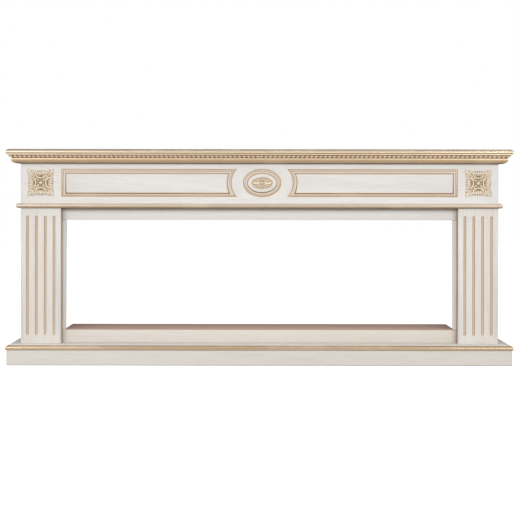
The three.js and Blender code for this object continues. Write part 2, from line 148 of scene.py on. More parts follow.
# Finish
GRAIN_STRETCH = 0.045  # the share of its noise that is left along the grain
VENEER_START = 0.5 * MM  # veneer covers a board from this distance to its bare face
BARE_EDGE = 0.2 * MM  # and within this one all is bare
COVE_DARKER_BELOW = 0.012  # the lower cuts are darker, by distance below the middle
QUIRK_DARKER_BELOW = 0.065
# Reach of the painted shadow under the frieze and of the painted shade by the returns
FRIEZE_SHADOW_REACH = 14 * MM
RETURN_SHADE_REACH = 5.5 * MM
# Reach of the painted shadow on the frieze under the crown
CROWN_SHADOW_REACH = 5 * MM
JOINT_LINE = 0.7 * MM, 1.8 * MM

# Camera and studio
CAMERA_DISTANCE = 5.6
CAMERA_HEIGHT = 0.678
CAMERA_X = -0.0022
CAMERA_ROLL = math.radians(-0.08)
LENS = 97.1
LENS_SHIFT = -0.1197
FLOOR_SIZE = 14
FLOOR_GLOW = 0.75  # what the camera sees
FLOOR_BOUNCE = 0.42  # what it throws back
SIDE_POWER = 65
FRONT_POWER = 60
TOP_POWER = 42
FILL = 0.42


# Shader expressions
class Value:
    """A number or colour in a material, so that shader maths reads as arithmetic."""

    def __init__(self, look, socket):
        self.look = look
        self.socket = socket

    def __add__(self, other):
        return self.look.math("ADD", self, other)

    def __sub__(self, other):
        return self.look.math("SUBTRACT", self, other)

    def __rsub__(self, other):
        return self.look.math("SUBTRACT", other, self)

    def __mul__(self, other):
        return self.look.math("MULTIPLY", self, other)

    __radd__ = __add__
    __rmul__ = __mul__


class Look:
    """One material, whose nodes all come from node()."""

    def __init__(self, name):
        self.material = bpy.data.materials.new(name)
        self.material.use_nodes = True
        self.tree = self.material.node_tree
        self.shader = self.tree.nodes["Principled BSDF"]

    def node(self, kind, settings, inputs, output=0):
        made = self.tree.nodes.new(kind)
        for key, value in settings.items():
            if key == "stops":
                self.set_stops(made.color_ramp, value)
            else:
                setattr(made, key, value)
        for key, value in inputs.items():
            self.feed(made.inputs[key], value)
        return Value(self, made.outputs[output])

    def feed(self, socket, value):
        if isinstance(value, Value):
            self.tree.links.new(value.socket, socket)
        else:
            socket.default_value = value

    @staticmethod
    def set_stops(ramp, stops):
        while len(ramp.elements) < len(stops):
            ramp.elements.new(1.0)
        for element, (place, colour) in zip(ramp.elements, stops):
            element.position = place
            element.color = (*colour, 1.0)

    def math(self, operation, first, second):
        return self.node("ShaderNodeMath", {"operation": operation}, {0: first, 1: second})

    def most(self, first, second):
        return self.math("MAXIMUM", first, second)

    def size(self, value):
        """The value without its sign."""
        return self.math("ABSOLUTE", value, 0.0)

    def step(self, value, low, high):
        """0 below low and 1 above high, with a soft change between."""
        settings = {"interpolation_type": "SMOOTHSTEP"}
        inputs = {"Value": value, "From Min": low, "From Max": high}
        return self.node("ShaderNodeMapRange", settings, inputs)

    def mix(self, factor, first, second):
        """Colour first where factor is 0 and second where it is 1."""
        # 6 and 7 are the node's inputs for colours, and 2 is its output for one
        inputs = {0: factor, 6: self.colour(first), 7: self.colour(second)}
        return self.node("ShaderNodeMix", {"data_type": "RGBA"}, inputs, 2)

    @staticmethod
    def colour(value):
        return value if isinstance(value, Value) else (*value, 1.0)

    def place(self):
        return self.node("ShaderNodeTexCoord", {}, {}, "Object")

    def axes(self):
        place = self.place()
        return [self.node("ShaderNodeSeparateXYZ", {}, {0: place}, i) for i in range(3)]

    def noise(self, scale, detail=2.0, roughness=0.5, stretch=(1, 1, 1)):
        """Noise with features about 1/scale metres long, stretched along an axis."""
        place = self.node(
            "ShaderNodeVectorMath", {"operation": "MULTIPLY"}, {0: self.place(), 1: stretch}
        )
        inputs = {"Vector": place, "Scale": scale, "Detail": detail, "Roughness": roughness}
        return self.node("ShaderNodeTexNoise", {"noise_dimensions": "3D"}, inputs)

    def attribute(self, name):
        return self.node("ShaderNodeAttribute", {"attribute_name": name}, {}, 2)

    def bump(self, height, distance, strength=1.0):
        inputs = {"Height": height, "Distance": distance, "Strength": strength}
        return self.node("ShaderNodeBump", {}, inputs)

    def finish(self, **sockets):
        for name, value in sockets.items():
            self.feed(self.shader.inputs[name.replace("_", " ").title()], value)
        return self.material


# Colours, as linear light
IVORY = (0.750, 0.732, 0.708)
IVORY_WARM = (0.66, 0.61, 0.545)
RETURN_GOLD = (0.44, 0.295, 0.18)
COVE_PALE = (0.80, 0.715, 0.63)
FLUTE_PALE = (0.66, 0.54, 0.42)
PORE = (0.47, 0.42, 0.35)
CREAM = (0.81, 0.69, 0.52)
GOLD_PALE = (0.70, 0.52, 0.325)
GOLD = (0.52, 0.365, 0.22)
GOLD_DARK = (0.23, 0.145, 0.075)
UMBER = (0.27, 0.213, 0.16)
HONEY = (0.88, 0.71, 0.50)
NOSE_UNDER = (0.29, 0.18, 0.092)
NOSE_PALE = (0.69, 0.55, 0.39)
FILLET_GOLD = (0.56, 0.385, 0.21)
# Painted shadow under the ovolo, under the astragal and under the rope's fillet
SHADOW_GOLD = (0.115, 0.055, 0.018)
OVOLO_GOLD = (0.60, 0.415, 0.245)
ROPE_WHITE = (0.93, 0.85, 0.74)
# Painted shade at the deck's foot and a painted highlight across its front
DECK_FOOT = (0.52, 0.39, 0.30)
DECK_LIT = (0.70, 0.52, 0.345)
DECK_GOLD = (0.50, 0.355, 0.205)
DECK_BEIGE = (0.55, 0.415, 0.29)
DECK_BROWN = (0.35, 0.238, 0.148)
DECK_EDGE = (0.50, 0.39, 0.285)
# Painted shade and shadow in the frame's corners, and the dark joint lines
SHADE_AND_JOINT_BROWN = (0.40, 0.24, 0.12)
QUIRK_GOLD = (0.47, 0.285, 0.105)
QUIRK_DEEP = (0.34, 0.155, 0.025)
CREAM_LIGHT = (0.84, 0.77, 0.65)
TOP_BROWN = (0.33, 0.28, 0.235)
ROPE_SHADE = (0.52, 0.30, 0.14)
BEIGE = (0.60, 0.50, 0.405)
BOARD = (0.645, 0.44, 0.36)
BOARD_DARK = (0.46, 0.315, 0.26)


def oak(look, along, warmth):
    """Open-pored oak under ivory lacquer, its grain along one axis: colour and bump height."""
    stretch = [1.0] * 3
    stretch["XYZ".index(along)] = GRAIN_STRETCH
    drift = look.noise(9.0, 2.0, stretch=stretch)
    streak = look.noise(170.0, 3.0, 0.6, stretch=stretch)
    pores = look.noise(1500.0, 2.0, 0.55, stretch=stretch)
    pore = look.step(pores, 0.56, 0.70) * look.step(streak + drift * 0.35, 0.52, 0.80)
    shade = look.step(streak, 0.40, 0.75) * 0.34 + look.step(drift, 0.35, 0.70) * 0.22
    colour = look.mix(shade + warmth, IVORY, IVORY_WARM)
    return look.mix(pore * 0.38, colour, PORE), streak * 0.35 - pore


def board(look):
    """Raw pressed board, of fine pinkish-brown fibres: colour and bump height."""
    fibre = look.noise(1400.0, 3.0, 0.7)
    cloud = look.noise(12.0, 3.0)
    shade = look.step(fibre, 0.35, 0.75) * 0.25 + look.step(cloud, 0.3, 0.7) * 0.15
    return look.mix(shade, BOARD, BOARD_DARK), fibre


def at_face(look, value, face):
    """1 on a bare face, and 0 on the veneer that begins close to it."""
    return look.step(value, face - VENEER_START, face - BARE_EDGE)


def raw_back(look, x, y, z):
    """The edges at the wall aren't veneered."""
    return at_face(look, y, WALL)


def raw_behind(node):
    """The face that a board turns to the hollow behind it isn't veneered."""
    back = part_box(node)[1].y
    return lambda look, x, y, z: at_face(look, y, back)


def raw_inside(look, x, y, z):
    """The inner faces and rear edges of the side boards."""
    inner = SIDE_THICKNESS - HALF
    hidden = at_face(look, 0 - look.size(x), inner)
    return look.most(hidden, raw_back(look, x, y, z))


def raw_above(node):
    """The back and the upper face of a board."""
    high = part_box(node)[1]
    return lambda look, x, y, z: look.most(at_face(look, z, high.z), at_face(look, y, high.y))


def ramp(look, value, stops):
    """A colour that changes with a value: stops are values and colours, from the lowest up."""
    low, high = stops[0][0], stops[-1][0]
    places = [((place - low) / (high - low), colour) for place, colour in stops]
    share = (value - low) * (1 / (high - low))
    return look.node("ShaderNodeValToRGB", {"stops": places}, {0: share})


def rubbed(look, colour, wear=1.0):
    """Patina rubbed by hand: fine streaks along the work, here darker and there worn pale."""
    streak = look.noise(500.0, 3.0, 0.6, stretch=(0.05, 0.05, 1))
    cloud = look.noise(6.0, 2.0)
    dark = look.step(streak, 0.50, 0.75) * (0.20 * wear)
    pale = look.step(cloud, 0.48, 0.72) * (0.22 * wear)
    return look.mix(pale, look.mix(dark, colour, GOLD_DARK), CREAM)


def oak_material(name, along, warmth=0.0, patina=None, stops=None, raw=None, gloss=0.0):
    """Ivory oak, with patina and painted shade where patina(look, x, y, z) gives their strength
    and place, and bare board where raw(look, x, y, z) is 1."""
    look = Look(name)
    colour, height = oak(look, along, warmth)
    roughness = look.step(height, -0.6, 0.4) * -0.12 + 0.62
    metallic = 0.0
    if patina:
        strength, place = patina(look, *look.axes())
        colour = look.mix(strength, colour, rubbed(look, ramp(look, place, stops)))
        roughness = roughness - strength * (0.14 + gloss)
        metallic = strength * (0.2 + gloss)
    bare = (raw or raw_back)(look, *look.axes())
    colour = look.mix(bare, colour, board(look)[0])
    roughness = roughness + bare * 0.2
    normal = look.bump(height, 0.12 * MM, 0.7)
    return look.finish(base_color=colour, roughness=roughness, metallic=metallic, normal=normal)


def cut_material(name, along, stops, darker_below=0.0):
    """Patina in a routed cut, by depth behind the face, and darker in the lower cuts."""

    def patina(look, x, y, z):
        depth = y - FACE
        below = look.most(CARVING_Z - z, 0.0)
        return look.step(depth, 0.05 * MM, 0.4 * MM) * 0.96, depth + below * darker_below

    return oak_material(name, along, 0.0, patina, stops)


def nose_material(name, out, bottom, stops):
    """A board whose nose is gilt beyond a distance from the body, by height."""

    def patina(look, x, y, z):
        beyond = look.most(look.size(x) - HALF, FACE - y)
        return look.step(beyond, out, out + 0.6 * MM), z - bottom

    return oak_material(name, "X", 0.15, patina, stops, gloss=0.14)


def gilt_material(name, stops, relief=False):
    """Gold patina by height on a moulding, its bands holding painted shade and light too, and by
    relief on a carving.
    """
    look = Look(name)
    place = look.attribute("relief") if relief else look.axes()[2]
    colour = rubbed(look, ramp(look, place, stops), 0.7 if relief else 1.0)
    grain = look.noise(700.0, 2.0, 0.5, stretch=(0.1, 0.1, 1))
    normal = look.bump(grain, 0.08 * MM, 0.6)
    roughness = grain * 0.15 + 0.27
    return look.finish(base_color=colour, roughness=roughness, metallic=0.32, normal=normal)


def raw_board_material():
    look = Look("raw_board")
    colour, fibre = board(look)
    normal = look.bump(fibre, 0.15 * MM, 0.6)
    return look.finish(base_color=colour, roughness=0.85, normal=normal)


def corner_shade_and_joints(look, x, y, z):
    """Painted shadow on the frame under the frieze and painted shade beside the pilaster returns,
    with dark joint lines where the jambs meet the rails.
    """
    top = look.step(z, FRIEZE_LOW - FRIEZE_SHADOW_REACH, FRIEZE_LOW + 1 * MM)
    side = look.size(x)
    return_shade = look.step(side, PILASTER_INNER - RETURN_SHADE_REACH, PILASTER_INNER - 1.5 * MM)
    low, high = (
        1 - look.step(look.size(z - corner.z), *JOINT_LINE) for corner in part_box("jamb_left")
    )
    joint = look.most(low, high) * 0.6 * look.step(side, JAMB_INNER, JAMB_INNER + 0.5 * MM)
    return look.most(look.most(top * 0.62, return_shade * 0.45), joint), z


def crown_shadow(look, x, y, z):
    """Painted shadow on the frieze in the corner under the crown moulding."""
    return look.step(z, CROWN_LOW - CROWN_SHADOW_REACH, CROWN_LOW) * 0.35, z


def all_over(colour):
    """The stops of a ramp that has one colour."""
    return [(0, colour), (1, colour)]


shade_and_joint_brown = all_over(SHADE_AND_JOINT_BROWN)
# Warmth darkens and warms a board's oak; on the bottom rail and the plinth it is partly their own
# tone and partly painted shade low down.
oak_soffit = oak_material("ivory_oak_soffit", "X", 0.1, raw=raw_above("frieze_soffit"))
oak_plinth = oak_material("ivory_oak_plinth", "X", 0.44)
oak_side = oak_material("ivory_oak_side", "Z", 0.2, raw=raw_inside)
oak_frieze = oak_material(
    "ivory_oak_frieze", "X", 0.0, crown_shadow, shade_and_joint_brown, raw_behind("frieze_front")
)
oak_fluted = oak_material("ivory_oak_fluted", "Z", 0.34, raw=raw_behind("pilaster_left"))
oak_top_rail = oak_material(
    "ivory_oak_top_rail", "X", 0.0, corner_shade_and_joints, shade_and_joint_brown, raw_behind("top_rail")
)
oak_bottom_rail = oak_material(
    "ivory_oak_bottom_rail", "X", 0.75, corner_shade_and_joints, shade_and_joint_brown, raw_above("bottom_rail")
)
oak_jamb = oak_material(
    "ivory_oak_jamb", "Z", 0.0, corner_shade_and_joints, shade_and_joint_brown, raw_behind("jamb_left")
)
gilt_return = oak_material(
    "gold_return", "Z", 0.2,
    lambda look, x, y, z: (look.step(y, FACE, FACE + 0.1 * MM) * 0.9, z),
    all_over(RETURN_GOLD),
)
gilt_cove = cut_material(
    "gold_cove", "X",
    [
        (0, RETURN_GOLD), (0.9 * MM, GOLD), (1.6 * MM, GOLD_PALE), (2.2 * MM, COVE_PALE),
        (3.2 * MM, COVE_PALE), (4.0 * MM, GOLD), (COVE_DEPTH, GOLD),
    ],
    COVE_DARKER_BELOW,
)
gilt_quirk = cut_material(
    "gold_quirk", "X",
    [(0, GOLD_PALE), (2.2 * MM, GOLD), (3.4 * MM, QUIRK_GOLD), (4.6 * MM, QUIRK_DEEP)],
    QUIRK_DARKER_BELOW,
)
gilt_flute = cut_material(
    "gold_flute", "Z",
    [
        (0, UMBER), (0.8 * MM, GOLD), (3.4 * MM, GOLD), (4.6 * MM, FLUTE_PALE),
        (5.5 * MM, FLUTE_PALE),
    ],
)
# The shelf's nose is darker on its underside as painted shade, and on its upper rounding as patina
# and painted shade together.
oak_shelf = nose_material(
    "ivory_oak_shelf", SHELF_OUT - 10.4 * MM, SHELF_LOW,
    [
        (0, NOSE_UNDER), (1.5 * MM, NOSE_UNDER), (2.4 * MM, HONEY), (6.4 * MM, HONEY),
        (8 * MM, NOSE_PALE), (10 * MM, NOSE_PALE), (11 * MM, UMBER), (14 * MM, UMBER),
        (15 * MM, TOP_BROWN), (18 * MM, TOP_BROWN),
    ],
)
# The deck's nose is darker at its foot as painted shade, and its brightest band across the front
# is a painted highlight.
oak_deck = nose_material(
    "ivory_oak_deck", DECK_OUT - 14.1 * MM, DECK_LOW,
    [
        (0, DECK_FOOT), (2 * MM, DECK_FOOT), (4 * MM, DECK_LIT), (6.4 * MM, DECK_LIT),
        (7.4 * MM, DECK_GOLD), (10.4 * MM, DECK_GOLD), (11.4 * MM, DECK_BEIGE),
        (14.4 * MM, DECK_BEIGE), (15.2 * MM, DECK_BROWN), (18.4 * MM, DECK_BROWN),
        (19.4 * MM, DECK_EDGE), (22 * MM, DECK_EDGE),
    ],
)
# The crown's lowest band is painted shadow under the ovolo.
gilt_crown = gilt_material(
    "gold_crown",
    [
        (SHELF_LOW - down * MM, colour)
        for down, colour in (
            (41, SHADOW_GOLD), (37.4, SHADOW_GOLD), (35.6, OVOLO_GOLD), (30, OVOLO_GOLD),
            (27.4, GOLD), (25.6, FILLET_GOLD), (23, FILLET_GOLD), (21, HONEY), (19, HONEY),
            (17, GOLD_DARK), (6.5, GOLD_DARK), (4.5, HONEY), (1.6, HONEY),
            (0.6, RETURN_GOLD), (0, RETURN_GOLD),
        )
    ],
)
# The astragal is painted shadow along its underside, then gold that pales to ivory at its top:
# painted shade below and painted light above, over its gold patina.
gilt_astragal = gilt_material(
    "gold_astragal",
    [
        (ASTRAGAL_LOW, SHADOW_GOLD), (ASTRAGAL_LOW + 1.0 * MM, RETURN_GOLD),
        (ASTRAGAL_LOW + 1.8 * MM, GOLD), (ASTRAGAL_LOW + 3.4 * MM, OVOLO_GOLD),
        (ASTRAGAL_LOW + 8 * MM, BEIGE), (ASTRAGAL_LOW + 13.5 * MM, BEIGE),
        (ASTRAGAL_LOW + 15.5 * MM, GOLD), (ASTRAGAL_LOW + 17 * MM, IVORY_WARM),
        (ASTRAGAL_HIGH, IVORY),
    ],
)
gilt_carving = gilt_material(
    "gold_carving",
    [
        (0, GOLD_DARK), (0.14, NOSE_UNDER), (0.26, GOLD), (0.36, GOLD_PALE), (0.52, CREAM),
        (0.7, CREAM_LIGHT), (1, CREAM_LIGHT),
    ],
    True,
)
# The rope's lowest stop is painted shadow under the fillet.
gilt_rope = gilt_material(
    "gold_rope",
    [
        (-FILLET_SHADOW_DEPTH, SHADOW_GOLD), (0.06, ROPE_SHADE), (0.32, ROPE_SHADE), (0.54, CREAM),
        (0.76, ROPE_WHITE),
    ],
    True,
)
raw_board = raw_board_material()


# Making pieces
def piece(name, bm, material, slot, *nodes, smooth=35):
    """A finished piece from a bmesh, riding on the body in place of its nodes.
    Its edges are sharp where they turn by more than the degrees in smooth."""
    bmesh.ops.recalc_face_normals(bm, faces=bm.faces)
    mesh = bpy.data.meshes.new(name)
    bm.to_mesh(mesh)
    bm.free()
    mesh.shade_smooth()
    mesh.set_sharp_from_angle(angle=math.radians(smooth))
    mesh.materials.append(material)
    made = bpy.data.objects.new(name, mesh)
    bpy.context.scene.collection.objects.link(made)
    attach(made, "root")
    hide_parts(*nodes)
    return made


def skin(loops, closed=True, ring=False):
    """A skin drawn over loops of points: the first is extruded from each loop to the next.
    A ring comes back to its first loop, and otherwise the two ends are filled."""
    bm = bmesh.new()
    place = bm.verts.layers.int.new("place")
    verts = [bm.verts.new(point) for point in loops[0]]
    for number, vert in enumerate(verts):
        vert[place] = number
    following = verts[1:] + verts[:1] if closed else verts[1:]
    edges = [bm.edges.new(pair) for pair in zip(verts, following)]
    ends = [edges]
    for loop in [*loops[1:], *(loops[:1] if ring else [])]:
        made = bmesh.ops.extrude_edge_only(bm, edges=edges)["geom"]
        moved = {item for item in made if isinstance(item, bmesh.types.BMVert)}
        for vert in moved:
            vert.co = loop[vert[place]]
        edges = [
            item
            for item in made
            if isinstance(item, bmesh.types.BMEdge) and moved.issuperset(item.verts)
        ]
    if ring:
        bmesh.ops.remove_doubles(bm, verts=bm.verts, dist=1e-6)
    elif closed:
        ends.append(edges)
        for end in ends:
            bmesh.ops.edgeloop_fill(bm, edges=end)
    return bm


def curve(start, handle, other, end, steps):
    """Points of a curved stretch of an outline, its first point left out."""
    points = geometry.interpolate_bezier(
        Vector(start), Vector(handle), Vector(other), Vector(end), steps + 1
    )
    return [(point.x, point.y) for point in points[1:]]


# Stations where an outline stands: at the wall and at the corners of the body
def wall_left(out):
    return -HALF - out, WALL


def corner_left(out):
    return -HALF - out, FACE - out


def corner_right(out):
    return HALF + out, FACE - out


def wall_right(out):
    return HALF + out, WALL


RUNS = {
    "left": (wall_left, corner_left),
    "front": (corner_left, corner_right),
    "right": (corner_right, wall_right),
}


def at_station(outline, station):
    return [Vector((*station(out), height)) for out, height in outline]


def moulding(kind, outline, material, slot):
    """A moulding along the front and both sides, mitred where the runs meet."""
    for side, stations in RUNS.items():
        bm = skin([at_station(outline, station) for station in stations])
        for vert in bm.verts:
            if side == "front":
                vert.co.x -= math.copysign(MITRE_GAP, vert.co.x)
            elif vert.co.y < WALL - MM:
                vert.co.y += MITRE_GAP
        piece(f"{kind}_{side}_wood", bm, material, slot, f"{kind}_{side}")


# Boards
def blank(node):
    """A board as it is before any routing: the hull of its node, cleaned and eased."""
    bm = bmesh.new()
    for point in {tuple(round(c, 6) for c in v.co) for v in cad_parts[node].data.vertices}:
        bm.verts.new(point)
    hull = bmesh.ops.convex_hull(bm, input=bm.verts)
    spare = [item for item in hull["geom_interior"] if isinstance(item, bmesh.types.BMVert)]
    bmesh.ops.delete(bm, geom=spare, context="VERTS")
    bmesh.ops.dissolve_limit(bm, angle_limit=FLAT_ANGLE, verts=bm.verts, edges=bm.edges)
    sharp = [edge for edge in bm.edges if edge.calc_face_angle(0) > EDGE_ANGLE]
    bmesh.ops.bevel(
        bm, geom=sharp, offset=ARRIS, offset_type="OFFSET", segments=2,
        profile=0.5, affect="EDGES", material=-1, clamp_overlap=True,
    )
    return bm


def plain_board(node, material, slot):
    piece(f"{node}_board", blank(node), material, slot, node)


def routed(node, cutters, material):
    """A board with routed cuts, each with its own patina."""
    made = piece(f"{node}_board", blank(node), material, "ivory_oak", node)
    for number, (bm, patina) in enumerate(cutters):
        bmesh.ops.recalc_face_normals(bm, faces=bm.faces)
        mesh = bpy.data.meshes.new(f"{node}_cutter")
        bm.to_mesh(mesh)
        bm.free()
        mesh.materials.append(patina)
        cutter = bpy.data.objects.new(f"{node}_cutter_{number}", mesh)
        bpy.context.scene.collection.objects.link(cutter)
        cut = made.modifiers.new(f"cut_{number}", "BOOLEAN")
        cut.operation = "DIFFERENCE"
        cut.solver = "EXACT"
        cut.material_mode = "TRANSFER"
        cut.object = cutter
    bpy.context.view_layer.update()
    graph = bpy.context.evaluated_depsgraph_get()
    mesh = bpy.data.meshes.new_from_object(made.evaluated_get(graph))
    for cut in list(made.modifiers):
        bpy.data.objects.remove(cut.object)
    made.modifiers.clear()
    made.data = mesh
    mesh.shade_smooth()
    mesh.set_sharp_from_angle(angle=ROUTED_ANGLE)


def flute_cutters(x_low, x_high, z_low, z_high):
    """One round-ended channel for each flute."""
    radius = (FLUTE_DEPTH**2 + (FLUTE_WIDTH / 2) ** 2) / (2 * FLUTE_DEPTH)
    margin = (x_high - x_low - FLUTE_PITCH * (FLUTES - 1)) / 2
    low = z_low + FLUTE_BOTTOM + FLUTE_WIDTH / 2
    high = z_high - FLUTE_TOP - FLUTE_WIDTH / 2
    for number in range(FLUTES):
        bm = bmesh.new()
        bmesh.ops.create_uvsphere(bm, u_segments=40, v_segments=20, radius=radius)
        x = x_low + margin + FLUTE_PITCH * number
        for vert in bm.verts:
            rise = high if vert.co.z > 1e-6 else low
            vert.co.z *= FLUTE_END_SHARE
            vert.co += Vector((x, FACE + FLUTE_DEPTH - radius, rise))
        yield bm, gilt_flute


# Routed rings on the frieze
def panel_outline(side, inset, steps=48):
    outer = side * (PILASTER_INNER - PANEL_INSET - inset)
    lower_inset = inset * LOWER_EDGE_SHARE
    in_quirk = inset - (COVE_WIDTH + BEAD_WIDTH - LIP)
    if in_quirk > -1e-6:
        lower_inset += in_quirk * LOWER_QUIRK_GROWTH - LOWER_BEAD_LOSS
    top = PANEL_HEIGHT / 2 - inset
    bottom = PANEL_HEIGHT / 2 - lower_inset
    centre = OVAL_X + side * PANEL_ARC_OFFSET
    radius = PANEL_ARC + inset
    low, high = -math.asin(bottom / radius), math.asin(top / radius)
    points = [(outer, top), (outer, -bottom)]
    for number in range(steps + 1):
        angle = low + (high - low) * number / steps
        points.append((centre + side * radius * math.cos(angle), radius * math.sin(angle)))
    return points


def oval_outline(inset, steps=128):
    turns = [2 * math.pi * number / steps for number in range(steps)]
    return [
        (
            OVAL_X + (OVAL_HALF_WIDTH - inset) * math.cos(turn),
            (OVAL_HALF_HEIGHT - inset) * math.sin(turn),
        )
        for turn in turns
    ]


def cove_section(steps=10):
    """A steep wall outside, deepest close to it, and a long hollow rising to the bead."""
    start, end = (1.8 * MM, COVE_DEPTH), (COVE_WIDTH, LIP * 0.5)
    rise = curve(start, (5 * MM, COVE_DEPTH), (8 * MM, 1.2 * MM), end, steps)
    return [
        (-LIP, -CLEAR), (-LIP, 0), (0, LIP * 0.6), (0.7 * MM, COVE_DEPTH - 0.8 * MM), start,
        *rise, (COVE_WIDTH + LIP, 0), (COVE_WIDTH + LIP, -CLEAR),
    ]


def quirk_section():
    """A steep wall at the bead and a long slope up to the field."""
    start = COVE_WIDTH + BEAD_WIDTH
    end = start + QUIRK_WIDTH
    return [
        (start - LIP, -CLEAR), (start - LIP, 0), (start - 0.2 * MM, LIP * 0.6),
        (start + 0.3 * MM, QUIRK_DEPTH), (start + 1.0 * MM, QUIRK_DEPTH),
        (end, LIP * 0.6), (end + LIP, 0), (end + LIP, -CLEAR),
    ]


def ring_cutters():
    outlines = [
        lambda inset: panel_outline(-1, inset),
        lambda inset: panel_outline(1, inset),
        oval_outline,
    ]
    for outline in outlines:
        for section, patina in ((cove_section(), gilt_cove), (quirk_section(), gilt_quirk)):
            loops = [
                [Vector((x, FACE + depth, CARVING_Z + z)) for x, z in outline(inset)]
                for inset, depth in section
            ]
            yield skin(loops, ring=True), patina


# Nosed boards
def nose(bottom, thickness, out, undercut, rise, step, quirk):
    """Outline of a nosed edge, from the underside up to the flat top."""
    top = bottom + thickness
    widest = bottom + rise
    shoulder = (out - step, top - quirk)
    low = (out, bottom + rise * 0.15)
    start = (out - undercut, bottom)
    third = (start[0] + (low[0] - start[0]) * 2 / 3, start[1] + (low[1] - start[1]) * 2 / 3)
    other = (out, widest + (low[1] - widest) * 2 / 3)
    return [
        start,
        *curve(start, third, other, (out, widest), 8),
        *curve(
            (out, widest), (out, widest + (thickness - rise) * 0.5),
            (out - step * 0.45, top - quirk), shoulder, 12,
        ),
        (out - step - 0.3 * MM, top - quirk * 0.6),
        (out - step, top),
    ]


def nosed_board(node, outline, material):
    """A board whose nose wraps the front and both ends, closed above, below and behind."""
    stations = (wall_left, corner_left, corner_right, wall_right)
    loops = [at_station(outline, station) for station in stations]
    bm = skin(loops, closed=False)
    for level in (0, -1):
        corners = [loop[level] for loop in loops]
        face = [min(bm.verts, key=lambda v, p=point: (v.co - p).length) for point in corners]
        bmesh.ops.contextual_create(bm, geom=face)
    rim = [edge for edge in bm.edges if edge.is_boundary]
    bmesh.ops.holes_fill(bm, edges=rim, sides=0)
    piece(f"{node}_board", bm, material, "ivory_oak", node)


# Rope
def rope_height(distance, share):
    """Height of the rope at a distance along it and a share of its breadth."""
    swing = share - 0.5
    lean = ROPE_LEAN * (1.25 * swing - swing**3)
    turn = (distance - lean) / ROPE_PITCH
    strand = 2 * (turn - math.floor(turn)) - 1
    round_strand = math.sqrt(max(0.0, 1 - (strand / STRAND_SHARE) ** 2))
    ends = math.sin(math.pi * min(max(share, 0.0), 1.0) ** 0.85) ** 0.6
    return ROPE_VALLEY * ends + (ROPE_DEPTH - ROPE_VALLEY) * round_strand * ends


def rope_relief(height, share):
    """How far the patina is rubbed off the rope's strands, with painted shadow under the fillet
    and a painted highlight along its foot.
    """
    low, high = FILLET_SHADOW
    shaded = min(max((share - low) / (high - low), 0.0), 1.0)
    foot_highlight = FOOT_HIGHLIGHT * max(0.0, 1 - share / FOOT_SHARE)
    return height / ROPE_DEPTH * (1 - shaded) + foot_highlight - FILLET_SHADOW_DEPTH * shaded


def rope(side, stations):
    """A carved rope strip let into the slanted band of the crown moulding."""
    proud = Vector((ROPE_UP.y, -ROPE_UP.x))
    breadth = (ROPE_TOP - ROPE_BOTTOM).length - 2 * GLUE_GAP
    foot = ROPE_BOTTOM + ROPE_UP * GLUE_GAP - proud * ROPE_DEPTH
    start, end = stations
    span = (Vector(end(ROPE_TOP_OUT)) - Vector(start(ROPE_TOP_OUT))).length
    run = 0 if side == "front" else 1

    def level(share, height):
        return foot + ROPE_UP * breadth * share + proud * height

    def spot(along, share, height):
        """A point of the strip: over its foot, but drawn to the mitre at both ends."""
        high = level(share, height)
        flat = Vector(start(level(share, 0).x)).lerp(Vector(end(level(share, 0).x)), along)
        point = Vector(start(high.x)).lerp(Vector(end(high.x)), along)
        near_mitre = max(0.0, 1 - min(along, 1 - along) * span / MITRE_PULL)
        point[run] = flat[run] + (point[run] - flat[run]) * near_mitre
        return Vector((point.x, point.y, high.y))

    bm = bmesh.new()
    columns = round(span / ROPE_PITCH) * COLUMNS_PER_STRAND
    bmesh.ops.create_grid(bm, x_segments=columns, y_segments=ROPE_ROWS, size=1)
    relief = bm.verts.layers.float.new("relief")
    shares = [bm.verts.layers.float.new(name) for name in ("along", "share")]
    for vert in bm.verts:
        along, share = (vert.co.x + 1) / 2, (vert.co.y + 1) / 2
        vert[shares[0]], vert[shares[1]] = along, share
        flat = spot(along, share, 0)
        distance = abs(flat.x) if side == "front" else WALL - flat.y + ROPE_PITCH / 2
        height = rope_height(distance, share)
        vert.co = spot(along, share, height)
        vert[relief] = rope_relief(height, share)
    rim = [edge for edge in bm.edges if edge.is_boundary]
    made = bmesh.ops.extrude_edge_only(bm, edges=rim)["geom"]
    for vert in made:
        if isinstance(vert, bmesh.types.BMVert):
            vert.co = spot(vert[shares[0]], vert[shares[1]], -ROPE_BACKING)
    for name in ("along", "share"):
        bm.verts.layers.float.remove(bm.verts.layers.float[name])
    rim = [edge for edge in bm.edges if edge.is_boundary]
    bmesh.ops.edgeloop_fill(bm, edges=rim)
    piece(f"rope_{side}_carved", bm, gilt_rope, "gold_patina", f"rope_{side}", smooth=60)


